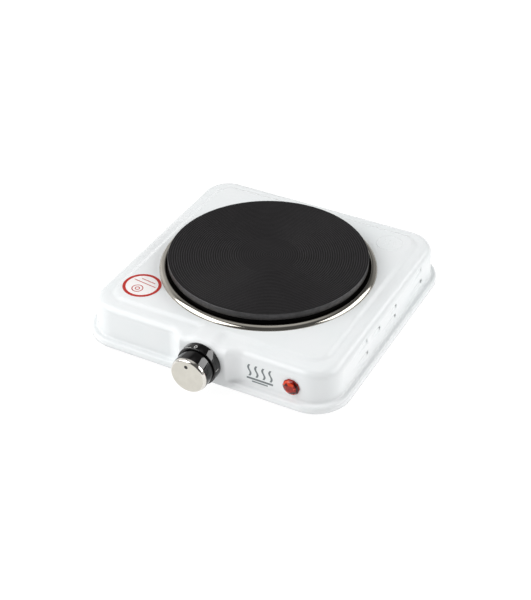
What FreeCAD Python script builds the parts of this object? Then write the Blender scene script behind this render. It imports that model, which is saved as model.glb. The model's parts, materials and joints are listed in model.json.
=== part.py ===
import FreeCAD, Part
import math
import os

from FreeCAD import Placement, Rotation, Vector

# Single electric hot plate: a pressed steel housing with a cast iron plate, a rotary
# thermostat behind the front wall and a pilot lamp beside it. Millimetres throughout.
# The model is worked out about the plate's axis with z = 0 at the housing's lower edge.
# On export everything moves so that the origin is the middle of the footprint and z = 0
# is the plane the rubber feet stand on.

# Housing, pressed from one sheet
sheet = 0.8
flange_half = 128.7
flange_corner = 34.0
flange_top = 6.5
flange_round = 3.0
wall_half = 122.7
wall_corner = 28.0
border_top = 38.9
shoulder_round = 9.0
panel_foot_half = 109.0
panel_half = 104.0
panel_corner = 14.0
panel_top = 41.3
panel_hole_radius = 87.0

# Boss pressed forward in the front wall for the thermostat
boss_x = 2.5
boss_front = 129.0
boss_half_front = 23.0
boss_half_root = 35.0
boss_round = 9.0
boss_bridge_half = 12.0

# Side vents: centre of each opening along the side (y) and up the wall (z)
vent_length = 5.4
vent_height = 3.0
vent_pitch = 61.2
vent_mid_y = 13.6
vent_low_z = 15.4
vent_high_z = 30.8
vent_inner_z = 25.6
vent_inner_offset = 36.0

# Cast iron plate
plate_radius = 92.5
plate_top = 53.6
rim_height = 6.5
plate_neck_radius = 89.5
plate_seat = 41.8
plate_skirt_radius = 85.0
plate_bottom = 34.0
channel_inner = 30.0
channel_outer = 81.0
channel_roof = 46.0
coil_ring_radius = 2.2
coil_level = 41.0
coil_radii = [38.0, 47.0, 56.0, 65.0, 74.0]

# Spill ring round the plate
ring_sheet = 0.5
ring_foot_radius = 100.6
ring_crest_radius = 95.8
ring_crest = 44.8
ring_well_radius = 93.6
ring_hole_radius = 86.0

# Central fixing under the plate
stud_radius = 3.0
stud_bottom = 12.0
stud_top = 45.0
under_cover_sheet = 0.8
bridge_sheet = 2.0
bridge_level = 22.0
bridge_half_width = 12.0
bridge_leg = 92.0
bridge_reach = 102.0
shield_sheet = 0.6
shield_radius = 87.0
shield_lip = 3.0

# Bottom cover, feet and the brackets that hold them
cover_bottom = 1.0
cover_sheet = 0.6
cover_half = 127.3
cover_corner = 32.6
foot_height = 8.0
foot_x = 103.0
foot_y = 84.0
foot_radius = 10.0
foot_toe_radius = 8.5
foot_screw_radius = 1.9
bracket_sheet = 1.2
bracket_half_width = 8.0
bracket_reach = 30.0
bracket_height = 24.0

# Knob and thermostat, on an axis square to the front wall
knob_x = 2.0
knob_z = 20.5
dial_radius = 19.0
dial_depth = 9.0
barrel_radius = 17.3
barrel_back = 9.7
barrel_front = 21.2
cap_radius = 17.2
cap_front = 24.6
cap_face_radius = 15.0
spindle_radius = 3.0
spindle_play = 0.05
bush_radius = 5.0
knob_travel = 280.0
cam_small_radius = 4.6
cam_rise = 2.4
cam_back = -15.0
cam_front = -12.0
lever_length = 16.0
lever_half_width = 1.5
lever_gap = 0.3

# Pilot lamp
lamp_x = 86.0
lamp_z = 19.2
lens_radius = 8.0
lens_height = 4.2
lens_facets = 12
lens_neck_radius = 4.6

# Rear cord inlet and mains terminals
inlet_x = 70.0
inlet_z = 20.0
inlet_bore = 3.6
inlet_neck_radius = 6.5
inlet_flange_radius = 8.5
terminal_y = 92.0
terminal_half_depth = 8.0
terminal_half_width = 17.0
terminal_height = 14.0
terminal_pitch = 10.0
lead_radius = 1.1
earth_x = 90.0
earth_y = 64.0

# Round notice sticker on the panel
sticker_x = -86.4
sticker_y = -81.6
sticker_radius = 17.8
sticker_film = 0.15

cover_top = cover_bottom + cover_sheet
rim_bottom = plate_top - rim_height
inner_wall = wall_half - sheet
origin_shift = Vector(0, (boss_front + cap_front - flange_half) / 2, foot_height)


def block(x0, x1, y0, y1, z0, z1):
    return Part.makeBox(x1 - x0, y1 - y0, z1 - z0, Vector(x0, y0, z0))


def rod(radius, start, end):
    run = end - start
    return Part.makeCylinder(radius, run.Length, start, run)


def upright(radius, x, y, z0, z1):
    return rod(radius, Vector(x, y, z0), Vector(x, y, z1))


def disc_ring(inner, outer, z0, z1, x=0, y=0):
    return upright(outer, x, y, z0, z1).cut(upright(inner, x, y, z0, z1))


def rounded_outline(half_x, half_y, corner, z):
    """Closed outline of a rectangle with quarter-circle corners."""
    edges = []
    corners = [(1, 1, 0), (-1, 1, 90), (-1, -1, 180), (1, -1, 270)]
    arcs = []
    for sx, sy, start in corners:
        centre = Vector(sx * (half_x - corner), sy * (half_y - corner), z)
        points = []
        for angle in (start, start + 45, start + 90):
            turn = math.radians(angle)
            points.append(centre + Vector(corner * math.cos(turn), corner * math.sin(turn), 0))
        arcs.append(points)
    for index, points in enumerate(arcs):
        following = arcs[(index + 1) % len(arcs)]
        edges.append(Part.Arc(*points).toShape())
        edges.append(Part.LineSegment(points[2], following[0]).toShape())
    return Part.Wire(edges)


def slab(half, corner, z0, z1):
    face = Part.Face(rounded_outline(half, half, corner, z0))
    return face.extrude(Vector(0, 0, z1 - z0))


def round_top(shape, radius):
    """Round the edges that lie on the top face."""
    top = shape.BoundBox.ZMax
    rim = [edge for edge in shape.Edges if edge.BoundBox.ZMin > top - 0.01]
    return shape.makeFillet(radius, rim)


def turned(points):
    """Solid of revolution about z from a list of (radius, height) corners."""
    corners = [Vector(r, 0, z) for r, z in points]
    face = Part.Face(Part.makePolygon(corners + corners[:1]))
    return face.revolve(Vector(0, 0, 0), Vector(0, 0, 1), 360)


def hexagon(across_flats, x, y, z0, z1, hole):
    reach = across_flats / math.sqrt(3)
    corners = []
    for side in range(7):
        turn = math.radians(60 * side)
        corners.append(Vector(x + reach * math.cos(turn), y + reach * math.sin(turn), z0))
    body = Part.Face(Part.makePolygon(corners)).extrude(Vector(0, 0, z1 - z0))
    return body.cut(upright(hole, x, y, z0, z1))


def facing_front(shape, x, y, z):
    """Place a shape so that its own z axis points forward (-y) and its y axis up."""
    placed = shape.copy()
    turn = Placement(Vector(x, y, z), Rotation(Vector(1, 0, 0), 90))
    placed.Placement = turn.multiply(placed.Placement)
    return placed


def at_knob(shape):
    return facing_front(shape, knob_x, -boss_front, knob_z)


def at_lamp(shape):
    return facing_front(shape, lamp_x, -wall_half, lamp_z)


def lead(points, bend):
    """Insulated wire along straight runs joined by tangent arcs."""
    corners = [Vector(*point) for point in points]
    edges = []
    start = corners[0]
    for before, corner, after in zip(corners, corners[1:], corners[2:]):
        back = (before - corner).normalize()
        ahead = (after - corner).normalize()
        half_turn = back.getAngle(ahead) / 2
        reach = min(bend / math.tan(half_turn),
                    0.45 * (before - corner).Length, 0.45 * (after - corner).Length)
        radius = reach * math.tan(half_turn)
        bisector = (back + ahead).normalize()
        centre = corner + bisector * (radius / math.sin(half_turn))
        middle = centre - bisector * radius
        first = corner + back * reach
        last = corner + ahead * reach
        edges.append(Part.LineSegment(start, first).toShape())
        edges.append(Part.Arc(first, middle, last).toShape())
        start = last
    edges.append(Part.LineSegment(start, corners[-1]).toShape())
    path = Part.Wire(edges)
    section = Part.Wire([Part.makeCircle(lead_radius, corners[0], corners[1] - corners[0])])
    return path.makePipeShell([section], True, False)


def spread(shape, places):
    """Copies of one small piece at several places, kept as separate solids."""
    copies = []
    for place in places:
        copy = shape.copy()
        copy.translate(Vector(*place))
        copies.append(copy)
    return Part.makeCompound(copies)


# Housing -------------------------------------------------------------------------------

def boss_form(inset, floor):
    """Boss in plan: a flat front, and sides that swing back into the wall in an S."""
    front = -(boss_front - inset)
    root = -(wall_half - inset - 1.0)
    rear = -panel_half + 2.0
    half_front = boss_half_front - inset
    half_root = boss_half_root - inset
    left_root = Vector(boss_x - half_root, root, floor)
    left_front = Vector(boss_x - half_front, front, floor)
    right_front = Vector(boss_x + half_front, front, floor)
    right_root = Vector(boss_x + half_root, root, floor)
    rear_left = Vector(boss_x - half_root, rear, floor)
    rear_right = Vector(boss_x + half_root, rear, floor)
    along = Vector(1, 0, 0)
    swing_left = Part.BSplineCurve()
    swing_left.interpolate(Points=[left_root, left_front], InitialTangent=along, FinalTangent=along)
    swing_right = Part.BSplineCurve()
    swing_right.interpolate(Points=[right_front, right_root], InitialTangent=along, FinalTangent=along)
    outline = Part.Wire([
        swing_left.toShape(),
        Part.LineSegment(left_front, right_front).toShape(),
        swing_right.toShape(),
        Part.LineSegment(right_root, rear_right).toShape(),
        Part.LineSegment(rear_right, rear_left).toShape(),
        Part.LineSegment(rear_left, left_root).toShape(),
    ])
    top = border_top - inset
    plan = Part.Face(outline).extrude(Vector(0, 0, top - floor))
    return plan.common(boss_side_form(front, top, floor))


def boss_side_form(front, top, floor):
    """Limit of the boss seen from the side: a straight front that rounds over at the top."""
    reach = boss_half_root + 5
    radius = boss_round - (front + boss_front)
    bend = radius * math.sqrt(0.5)
    foot = Vector(-reach, front, floor)
    spring = Vector(-reach, front, top - radius)
    middle = Vector(-reach, front + radius - bend, top - radius + bend)
    crown = Vector(-reach, front + radius, top)
    rear_top = Vector(-reach, -panel_half + 5, top)
    rear_foot = Vector(-reach, -panel_half + 5, floor)
    outline = Part.Wire([
        Part.LineSegment(foot, spring).toShape(),
        Part.Arc(spring, middle, crown).toShape(),
        Part.LineSegment(crown, rear_top).toShape(),
        Part.LineSegment(rear_top, rear_foot).toShape(),
        Part.LineSegment(rear_foot, foot).toShape(),
    ])
    return Part.Face(outline).extrude(Vector(2 * reach + boss_x, 0, 0))


def bridge_form(inset):
    """Low ridge that carries the raised panel forward onto the boss."""
    wide = boss_bridge_half + panel_foot_half - panel_half - inset
    narrow = boss_bridge_half - inset
    wires = []
    for half, front, level in ((wide, wall_half - 5.0, border_top - 1.0),
                               (narrow, wall_half - 8.0, panel_top)):
        corners = [Vector(boss_x - half, -front + inset, level - inset),
                   Vector(boss_x + half, -front + inset, level - inset),
                   Vector(boss_x + half, -panel_half + 2.0, level - inset),
                   Vector(boss_x - half, -panel_half + 2.0, level - inset)]
        wires.append(Part.makePolygon(corners + corners[:1]))
    return Part.makeLoft(wires, True, True)


def housing_form(inset, floor):
    """Outer form of the pressing, moved inward by inset on every side."""
    flange = round_top(slab(flange_half - inset, flange_corner - inset, floor, flange_top - inset),
                       flange_round - inset)
    walls = round_top(slab(wall_half - inset, wall_corner - inset, floor, border_top - inset),
                      shoulder_round - inset)
    low = rounded_outline(panel_foot_half - inset, panel_foot_half - inset,
                          panel_corner + panel_foot_half - panel_half - inset, border_top - inset - 0.5)
    high = rounded_outline(panel_half - inset, panel_half - inset, panel_corner - inset,
                           panel_top - inset)
    panel = Part.makeLoft([low, high], True, True)
    form = walls.fuse([flange, panel, boss_form(inset, floor), bridge_form(inset)])
    return form.removeSplitter()


def vent_places():
    places = []
    for step in (-1, 0, 1):
        places.append((vent_mid_y + step * vent_pitch, vent_low_z))
    for step in (-1, 1):
        places.append((vent_mid_y + step * vent_pitch, vent_high_z))
    places.append((vent_mid_y, vent_inner_z))
    places.append((vent_mid_y - vent_inner_offset, vent_inner_z))
    return places


def vent_cutter(y, z):
    """Slot with round ends, right through both side walls."""
    radius = vent_height / 2
    reach = vent_length / 2 - radius
    near = Vector(-flange_half, y - reach, z)
    far = Vector(flange_half, y - reach, z)
    step = Vector(0, 2 * reach, 0)
    middle = block(-flange_half, flange_half, y - reach, y + reach, z - radius, z + radius)
    return middle.fuse([rod(radius, near, far), rod(radius, near + step, far + step)])


def top_housing():
    body = housing_form(0.0, 0.0).cut(housing_form(sheet, -1.0))
    body = body.cut(upright(panel_hole_radius, 0, 0, border_top - 2, panel_top + 1))
    for y, z in vent_places():
        body = body.cut(vent_cutter(y, z))
    body = body.cut(at_knob(upright(bush_radius, 0, 0, -4, 1)))
    for x in (-12, 12):
        body = body.cut(at_knob(upright(1.5, x, 0, -4, 1)))
    for y in (-14.5, 14.5):
        body = body.cut(at_knob(upright(1.5, 0, y, -4, 1)))
    body = body.cut(at_lamp(upright(lens_neck_radius, 0, 0, -4, 1)))
    inlet = rod(inlet_neck_radius, Vector(inlet_x, wall_half - 4, inlet_z),
                Vector(inlet_x, wall_half + 1, inlet_z))
    return body.cut(inlet)


def bottom_cover():
    cover = slab(cover_half, cover_corner, cover_bottom, cover_top)
    for x in (-foot_x, foot_x):
        for y in (-foot_y, foot_y):
            cover = cover.cut(upright(foot_screw_radius, x, y, 0, 3))
    slot_half = 15.0
    slot_radius = 2.0
    for row in (-1, 1):
        for place in range(7):
            x = row * 34.0
            y = (place - 3) * 13.0
            slot = block(x - slot_half, x + slot_half, y - slot_radius, y + slot_radius, 0, 3)
            ends = [upright(slot_radius, x - slot_half, y, 0, 3),
                    upright(slot_radius, x + slot_half, y, 0, 3)]
            cover = cover.cut(slot.fuse(ends))
    return cover


def foot(x, y):
    body = Part.makeCone(foot_toe_radius, foot_radius, foot_height + cover_bottom,
                         Vector(x, y, -foot_height))
    body = body.cut(upright(4.5, x, y, -foot_height, -4.5))
    return body.cut(upright(foot_screw_radius + 0.1, x, y, -5, cover_bottom))


def foot_bracket(x, y):
    side = math.copysign(1, x)
    near = side * (inner_wall - bracket_reach)
    wall = side * inner_wall
    leg = side * (inner_wall - bracket_sheet)
    tab = block(min(near, wall), max(near, wall), y - bracket_half_width, y + bracket_half_width,
                cover_top, cover_top + bracket_sheet)
    upstand = block(min(leg, wall), max(leg, wall), y - bracket_half_width, y + bracket_half_width,
                    cover_top + bracket_sheet, bracket_height)
    hole = upright(foot_screw_radius, x, y, 0, 4)
    return tab.fuse(upstand).removeSplitter().cut(hole)


def foot_screw():
    head = upright(4.0, 0, 0, -6.9, -4.5)
    slot = block(-4, 4, -0.5, 0.5, -6.9, -6.1)
    return head.cut(slot).fuse(upright(foot_screw_radius, 0, 0, -4.5, 8)).removeSplitter()


# Plate and its fixing ------------------------------------------------------------------

def heating_plate():
    edge = 0.8
    body = turned([(0, plate_bottom), (channel_inner, plate_bottom), (channel_inner, channel_roof),
                   (channel_outer, channel_roof), (channel_outer, plate_bottom),
                   (plate_skirt_radius, plate_bottom), (plate_skirt_radius, plate_seat),
                   (plate_neck_radius, plate_seat), (plate_neck_radius, rim_bottom),
                   (plate_radius - edge, rim_bottom), (plate_radius, rim_bottom + edge),
                   (plate_radius, plate_top - edge), (plate_radius - edge, plate_top),
                   (0, plate_top)])
    return body.cut(upright(stud_radius, 0, 0, plate_bottom, stud_top))


def coil_rings():
    rings = []
    for radius in coil_radii:
        rings.append(Part.makeTorus(radius, coil_ring_radius, Vector(0, 0, coil_level)))
    return rings


def terminal_pins():
    return spread(upright(1.3, 0, 58, 22, 37), [(-9, 0, 0), (9, 0, 0)])


def ceramic_filler():
    body = disc_ring(channel_inner, channel_outer, plate_bottom, channel_roof)
    return body.cut(coil_rings()).cut(terminal_pins())


def plate_under_cover():
    cover = upright(plate_skirt_radius - 1, 0, 0, plate_bottom - under_cover_sheet, plate_bottom)
    cover = cover.cut(upright(stud_radius + 0.2, 0, 0, 30, 36))
    for x in (-9, 9):
        cover = cover.cut(upright(2.4, x, 58, 30, 36))
    return cover


def plate_terminal_block():
    body = block(-15, 15, 52, 64, 25.5, plate_bottom - under_cover_sheet)
    body = body.cut(block(-1.5, 1.5, 50, 66, 25, 29))
    return body.cut(terminal_pins())


def heat_shield():
    level = bridge_level + bridge_sheet
    dish = upright(shield_radius, 0, 0, level, level + shield_sheet)
    lip = disc_ring(shield_radius - shield_sheet, shield_radius, level + shield_sheet,
                    level + shield_sheet + shield_lip)
    dish = dish.fuse(lip).removeSplitter()
    dish = dish.cut(block(-18, 18, 48, shield_radius + 2, level - 1, level + 6))
    return dish.cut(upright(stud_radius + 0.2, 0, 0, level - 1, level + 2))


def clamp_bridge():
    foot_level = panel_top - sheet
    web = block(-bridge_leg, bridge_leg, -bridge_half_width, bridge_half_width,
                bridge_level, bridge_level + bridge_sheet)
    pieces = []
    for side in (-1, 1):
        leg = sorted((side * (bridge_leg - bridge_sheet), side * bridge_leg))
        toe = sorted((side * (bridge_leg - bridge_sheet), side * bridge_reach))
        pieces.append(block(leg[0], leg[1], -bridge_half_width, bridge_half_width,
                            bridge_level, foot_level))
        pieces.append(block(toe[0], toe[1], -bridge_half_width, bridge_half_width,
                            foot_level - bridge_sheet, foot_level))
    strap = web.fuse(pieces).removeSplitter()
    return strap.cut(upright(stud_radius + 0.2, 0, 0, 20, 26))


def ring_form(inset, floor):
    """Rolled bead: a long outer curve up to the crest and a short curve into the well."""
    foot = Vector(ring_foot_radius - inset, 0, floor)
    foot_top = Vector(ring_foot_radius - inset, 0, panel_top + ring_sheet)
    crest = Vector(ring_crest_radius, 0, ring_crest - inset)
    well = Vector(ring_well_radius + inset, 0, ring_crest - 2.2)
    well_foot = Vector(ring_well_radius + inset, 0, floor)
    outer_mid = Vector(ring_foot_radius - 1.5 - inset * 0.8, 0, ring_crest - 1.1 - inset * 0.6)
    inner_mid = Vector(ring_well_radius + 0.65 + inset * 0.7, 0, ring_crest - 0.65 - inset * 0.7)
    outline = Part.Wire([
        Part.LineSegment(foot, foot_top).toShape(),
        Part.Arc(foot_top, outer_mid, crest).toShape(),
        Part.Arc(crest, inner_mid, well).toShape(),
        Part.LineSegment(well, well_foot).toShape(),
        Part.LineSegment(well_foot, foot).toShape(),
    ])
    return Part.Face(outline).revolve(Vector(0, 0, 0), Vector(0, 0, 1), 360)


def spill_ring():
    bead = ring_form(0.0, panel_top).cut(ring_form(ring_sheet, panel_top - 1))
    seat = disc_ring(ring_hole_radius, ring_well_radius + ring_sheet, panel_top, panel_top + ring_sheet)
    return bead.fuse(seat).removeSplitter()


# Knob and thermostat -------------------------------------------------------------------

def dial_ring():
    body = turned([(8, 7.5), (17, 7.5), (17, 0), (dial_radius, 0),
                   (dial_radius, dial_depth - 0.8), (dial_radius - 0.8, dial_depth), (8, dial_depth)])
    pegs = [upright(1.5, 0, y, -2.5, 7.5) for y in (-14.5, 14.5)]
    return at_knob(body.fuse(pegs).removeSplitter())


def knob_barrel():
    shell = turned([(0, barrel_front - 1.6), (barrel_radius - 1.5, barrel_front - 1.6),
                    (barrel_radius - 1.5, barrel_back), (barrel_radius, barrel_back),
                    (barrel_radius, barrel_front), (0, barrel_front)])
    hub = upright(6.5, 0, 0, 7.0, barrel_front - 1.6)
    ribs = [block(-barrel_radius + 1, barrel_radius - 1, -0.6, 0.6, 11, barrel_front - 1.6),
            block(-0.6, 0.6, -barrel_radius + 1, barrel_radius - 1, 11, barrel_front - 1.6)]
    body = shell.fuse([hub] + ribs).removeSplitter()
    return at_knob(body.cut(upright(spindle_radius, 0, 0, 6, barrel_front - 1.6)))


def knob_cap():
    body = turned([(0, barrel_front), (cap_radius - 0.5, barrel_front),
                   (cap_radius, barrel_front + 0.5), (cap_radius, barrel_front + 1.2),
                   (cap_face_radius, cap_front - 0.5), (cap_face_radius - 4, cap_front - 0.2),
                   (0, cap_front)])
    return at_knob(body)


def thermostat_spindle():
    shaft = upright(spindle_radius, 0, 0, -18, barrel_front - 1.6)
    flat = block(-4, 4, 1.9, 4, 7.0, 20)
    return at_knob(shaft.cut(flat))


def knob_spring_clip():
    return at_knob(block(-1.8, 1.8, 1.9, 2.4, 8.0, 16.0))


def spindle_bush():
    body = turned([(spindle_radius + spindle_play, -9), (bush_radius + 1.5, -9),
                   (bush_radius + 1.5, -2), (bush_radius, -2), (bush_radius, 1.5),
                   (spindle_radius + spindle_play, 1.5)])
    return at_knob(body)


def spindle_circlip():
    ring = disc_ring(spindle_radius, spindle_radius + 2.4, -10.1, -9.3)
    return at_knob(ring.cut(block(-0.8, 0.8, -6, 0, -11, -9)))


def thermostat_cam():
    """Spiral cam: the radius at the lever grows evenly as the knob is turned up."""
    points = []
    for step in range(31):
        turned_by = -10 + step * 10
        radius = cam_small_radius + cam_rise * turned_by / knob_travel
        turn = math.radians(turned_by - 90)
        points.append(Vector(radius * math.cos(turn), radius * math.sin(turn), cam_back))
    spiral = Part.BSplineCurve()
    spiral.interpolate(points)
    outline = Part.Wire([spiral.toShape(), Part.LineSegment(points[-1], points[0]).toShape()])
    body = Part.Face(outline).extrude(Vector(0, 0, cam_front - cam_back))
    return at_knob(body.cut(upright(spindle_radius, 0, 0, cam_back, cam_front)))


lever_drop = cam_small_radius + lever_gap + lever_half_width


def cam_lever():
    """Follower bar from its pivot to a round nose just below the cam."""
    z0 = cam_back + 0.3
    z1 = cam_front - 0.3
    bar = block(-lever_length, 0, -lever_drop - lever_half_width, -lever_drop + lever_half_width, z0, z1)
    nose = upright(lever_half_width, 0, -lever_drop, z0, z1)
    eye = upright(3.0, -lever_length, -lever_drop, z0, z1)
    body = bar.fuse([nose, eye]).removeSplitter()
    return at_knob(body.cut(upright(1.55, -lever_length, -lever_drop, z0, z1)))


def lever_pivot_pin():
    return at_knob(upright(1.5, -lever_length, -lever_drop, -16, -0.8 - sheet / 2))


def thermostat_frame():
    """Mounting plate behind the wall with a shelf for the contact stack."""
    plate = block(-20, 22, -11, 9, -2.0, -sheet)
    shelf = block(12, 22, -8.0, -6.8, -18, -2.0)
    body = plate.fuse(shelf).removeSplitter()
    body = body.cut(upright(bush_radius, 0, 0, -3, 0))
    for x in (-12, 12):
        body = body.cut(upright(1.5, x, 0, -3, 0))
    body = body.cut(upright(1.5, -lever_length, -lever_drop, -3, 0))
    return at_knob(body.cut(stack_post()))


def thermostat_screws():
    screw = upright(2.6, 0, 0, 0, 1.8).cut(block(-2.6, 2.6, -0.35, 0.35, 1.1, 1.8))
    screw = screw.fuse(upright(1.5, 0, 0, -5, 0)).removeSplitter()
    return at_knob(spread(screw, [(-12, 0, 0), (12, 0, 0)]))


def stack_post():
    """Rivet shank through the shelf and the contact stack, along the thermostat's y."""
    return rod(1.5, Vector(17, -18.6, -14), Vector(17, -6.2, -14))


def stack_rivet():
    heads = [rod(2.6, Vector(17, -18.6, -14), Vector(17, -18.0, -14)),
             rod(2.6, Vector(17, -6.8, -14), Vector(17, -6.2, -14))]
    return at_knob(stack_post().fuse(heads).removeSplitter())


def ceramic_spacers():
    spacers = []
    for low, high in ((-18.0, -16.5), (-15.9, -14.2), (-13.8, -11.2), (-10.9, -8.0)):
        spacers.append(block(12, 22, low, high, -17, -11).cut(stack_post()))
    return at_knob(Part.makeCompound(spacers))


def blade(left, right, low, high):
    return at_knob(block(left, right, low, high, -17, -11).cut(stack_post()))


def contact_rivets():
    pair = [rod(1.6, Vector(-4, -13.8, -14), Vector(-4, -12.9, -14)),
            rod(1.6, Vector(-4, -11.9, -14), Vector(-4, -11.2, -14))]
    return at_knob(Part.makeCompound(pair))


# Pilot lamp ----------------------------------------------------------------------------

def facet_outline(radius, z):
    corners = []
    for side in range(lens_facets + 1):
        turn = 2 * math.pi * (side + 0.5) / lens_facets
        corners.append(Vector(radius * math.cos(turn), radius * math.sin(turn), z))
    return Part.makePolygon(corners)


def indicator_lens():
    """Faceted jewel with a round base and a hollow neck through the wall."""
    base = upright(lens_radius, 0, 0, 0, 1.2)
    jewel = Part.makeLoft([facet_outline(lens_radius - 0.4, 1.2), facet_outline(4.6, lens_height)],
                          True, True)
    neck = upright(lens_neck_radius, 0, 0, -6, 0)
    body = base.fuse([jewel, neck]).removeSplitter()
    return at_lamp(body.cut(upright(3.8, 0, 0, -6, 1.0)))


def indicator_clip():
    return at_lamp(disc_ring(lens_neck_radius, 7.5, -sheet - 1.0, -sheet))


def lamp_holder():
    cup = upright(3.75, 0, 0, -14, 0.8).cut(upright(2.7, 0, 0, -12.5, 0.8))
    for x in (-1.5, 1.5):
        cup = cup.cut(upright(lead_radius, x, 0, -14, -12.5))
    return at_lamp(cup)


def neon_bulb():
    glass = upright(2.5, 0, 0, -12.0, -2.0).fuse(Part.makeSphere(2.5, Vector(0, 0, -2.0)))
    return at_lamp(glass.removeSplitter())


def ballast_resistor():
    core = upright(1.5, -1.5, 0, -24, -17)
    wires = [upright(0.4, -1.5, 0, -17, -14), upright(0.4, -1.5, 0, -26, -24)]
    return at_lamp(core.fuse(wires).removeSplitter())


# Mains terminals, earth and leads ------------------------------------------------------

def terminal_poles():
    return [inlet_x + step * terminal_pitch for step in (-1, 0, 1)]


def mains_terminal_block():
    top = cover_top + terminal_height
    body = block(inlet_x - terminal_half_width, inlet_x + terminal_half_width,
                 terminal_y - terminal_half_depth, terminal_y + terminal_half_depth, cover_top, top)
    for x in terminal_poles():
        body = body.cut(block(x - 1.6, x + 1.6, terminal_y - 10, terminal_y + 10, 5.4, 10.6))
        for y in (terminal_y - 4, terminal_y + 4):
            body = body.cut(upright(1.2, x, y, 10.6, 12))
            body = body.cut(upright(2.0, x, y, 12, top))
    return body


def terminal_screws():
    screw = upright(1.9, 0, 0, 12, 13.6).cut(block(-1.9, 1.9, -0.3, 0.3, 13, 13.6))
    screw = screw.fuse(upright(1.2, 0, 0, 10.6, 12)).removeSplitter()
    places = []
    for x in terminal_poles():
        places += [(x, terminal_y - 4, 0), (x, terminal_y + 4, 0)]
    return spread(screw, places)


def cord_grommet():
    y0 = inner_wall - 2.5
    body = turned([(inlet_bore, y0), (inlet_flange_radius, y0), (inlet_flange_radius, inner_wall),
                   (inlet_neck_radius, inner_wall), (inlet_neck_radius, wall_half),
                   (inlet_flange_radius, wall_half), (inlet_flange_radius, wall_half + 1.6),
                   (inlet_flange_radius - 2.2, wall_half + 4.8), (inlet_bore, wall_half + 4.8)])
    body.rotate(Vector(0, 0, 0), Vector(1, 0, 0), -90)
    body.translate(Vector(inlet_x, 0, inlet_z))
    return body


def earth_stud():
    return upright(2.0, earth_x, earth_y, cover_top, 12)


def earth_ring_terminal():
    toward_block = Vector(-10, 14, 0).normalize()
    centre = Vector(earth_x, earth_y, cover_top + 1.6)
    eye = disc_ring(2.0, 4.5, cover_top, cover_top + 0.8, earth_x, earth_y)
    barrel = rod(1.6, centre + toward_block * 4.3, centre + toward_block * 9)
    return eye.fuse(barrel).removeSplitter()


def earth_nut():
    return hexagon(7.0, earth_x, earth_y, cover_top + 0.8, cover_top + 4.0, 2.0)


blade_x = knob_x + 32.0
blade_y = -boss_front + 14.0
fixed_blade_z = knob_z - 14.0
moving_blade_z = knob_z - 11.05
lamp_back_y = -wall_half + 14.0


def live_lead():
    return lead([(60, 89, 8), (60, 62, 8), (48, 30, 6.5), (48, blade_y, fixed_blade_z),
                 (blade_x, blade_y, fixed_blade_z)], 7)


def switched_lead():
    return lead([(blade_x, blade_y, moving_blade_z), (42, blade_y, moving_blade_z), (42, -70, 10),
                 (20, -30, 10), (20, 35, 10), (-9, 58, 10), (-9, 58, 22)], 6)


def neutral_lead():
    return lead([(70, 89, 9.4), (70, 74, 9.4), (58, 62, 13), (9, 58, 13), (9, 58, 22)], 6)


def lamp_live_lead():
    return lead([(lamp_x - 1.5, lamp_back_y + 12, lamp_z), (lamp_x - 1.5, -84, lamp_z),
                 (58, -84, lamp_z), (29, blade_y, lamp_z), (29, blade_y, moving_blade_z + 0.15)], 6)


def lamp_neutral_lead():
    return lead([(70, 89, 6.6), (70, 72, 6.6), (100, 40, 5.5), (100, -50, 5.5), (89, -84, 14),
                 (lamp_x + 1.5, -96, lamp_z), (lamp_x + 1.5, lamp_back_y, lamp_z)], 8)


def earth_lead():
    return lead([(80, 89, 6.8), (80, 78, 6.2), (84.6, 71.6, 3.9)], 6)


def notice_sticker():
    return upright(sticker_radius, sticker_x, sticker_y, panel_top, panel_top + sticker_film)


def write(node, shape):
    placed = shape.copy()
    placed.translate(origin_shift)
    placed.exportStep("parts/" + node + ".step")
    solids = len(placed.Solids)
    print(node, solids, placed.isValid(), round(placed.Volume, 1))


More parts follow.
